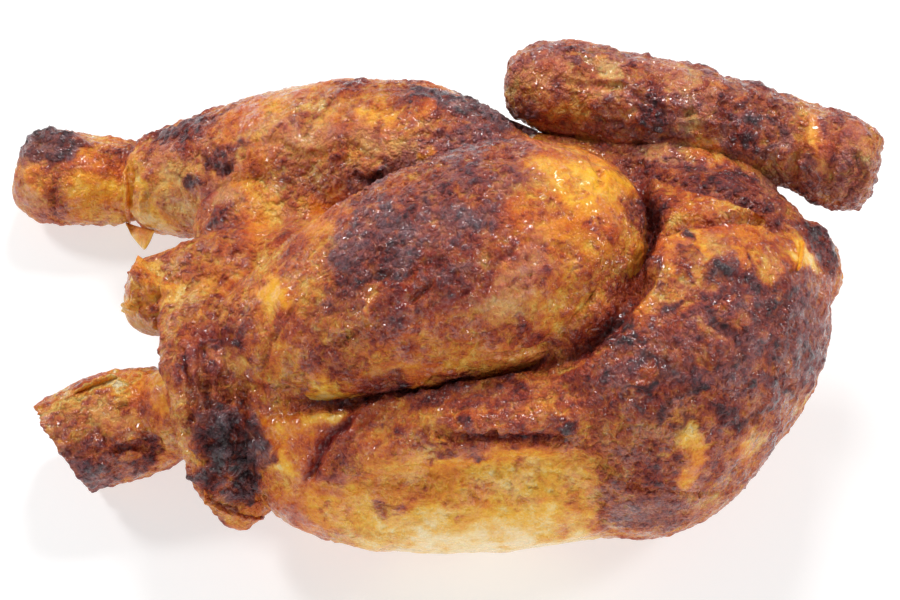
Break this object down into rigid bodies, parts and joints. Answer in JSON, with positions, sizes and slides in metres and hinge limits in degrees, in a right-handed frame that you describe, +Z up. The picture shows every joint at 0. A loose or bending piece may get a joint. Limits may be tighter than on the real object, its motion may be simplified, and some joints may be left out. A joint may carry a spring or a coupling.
{
  "type": "roast chicken",
  "caption": "Whole roast chicken, browned and charred in places, lying on its breast with the legs stretched out and the wings folded.",
  "frame": {"origin": "middle of the box's underside, on the surface that the bird lies on", "axes": "+Z up from the tray, +X from the legs towards the neck end, +Y towards the bird's back and far leg"},
  "size_m": [0.2183, 0.1311, 0.09],
  "materials": {
    "roasted_skin": "half-gloss browned skin with charred, red-glazed and pale fatty patches"
  },
  "bodies": {
    "root": {"roast_chicken": "roasted_skin"}
  },
  "joints": []
}
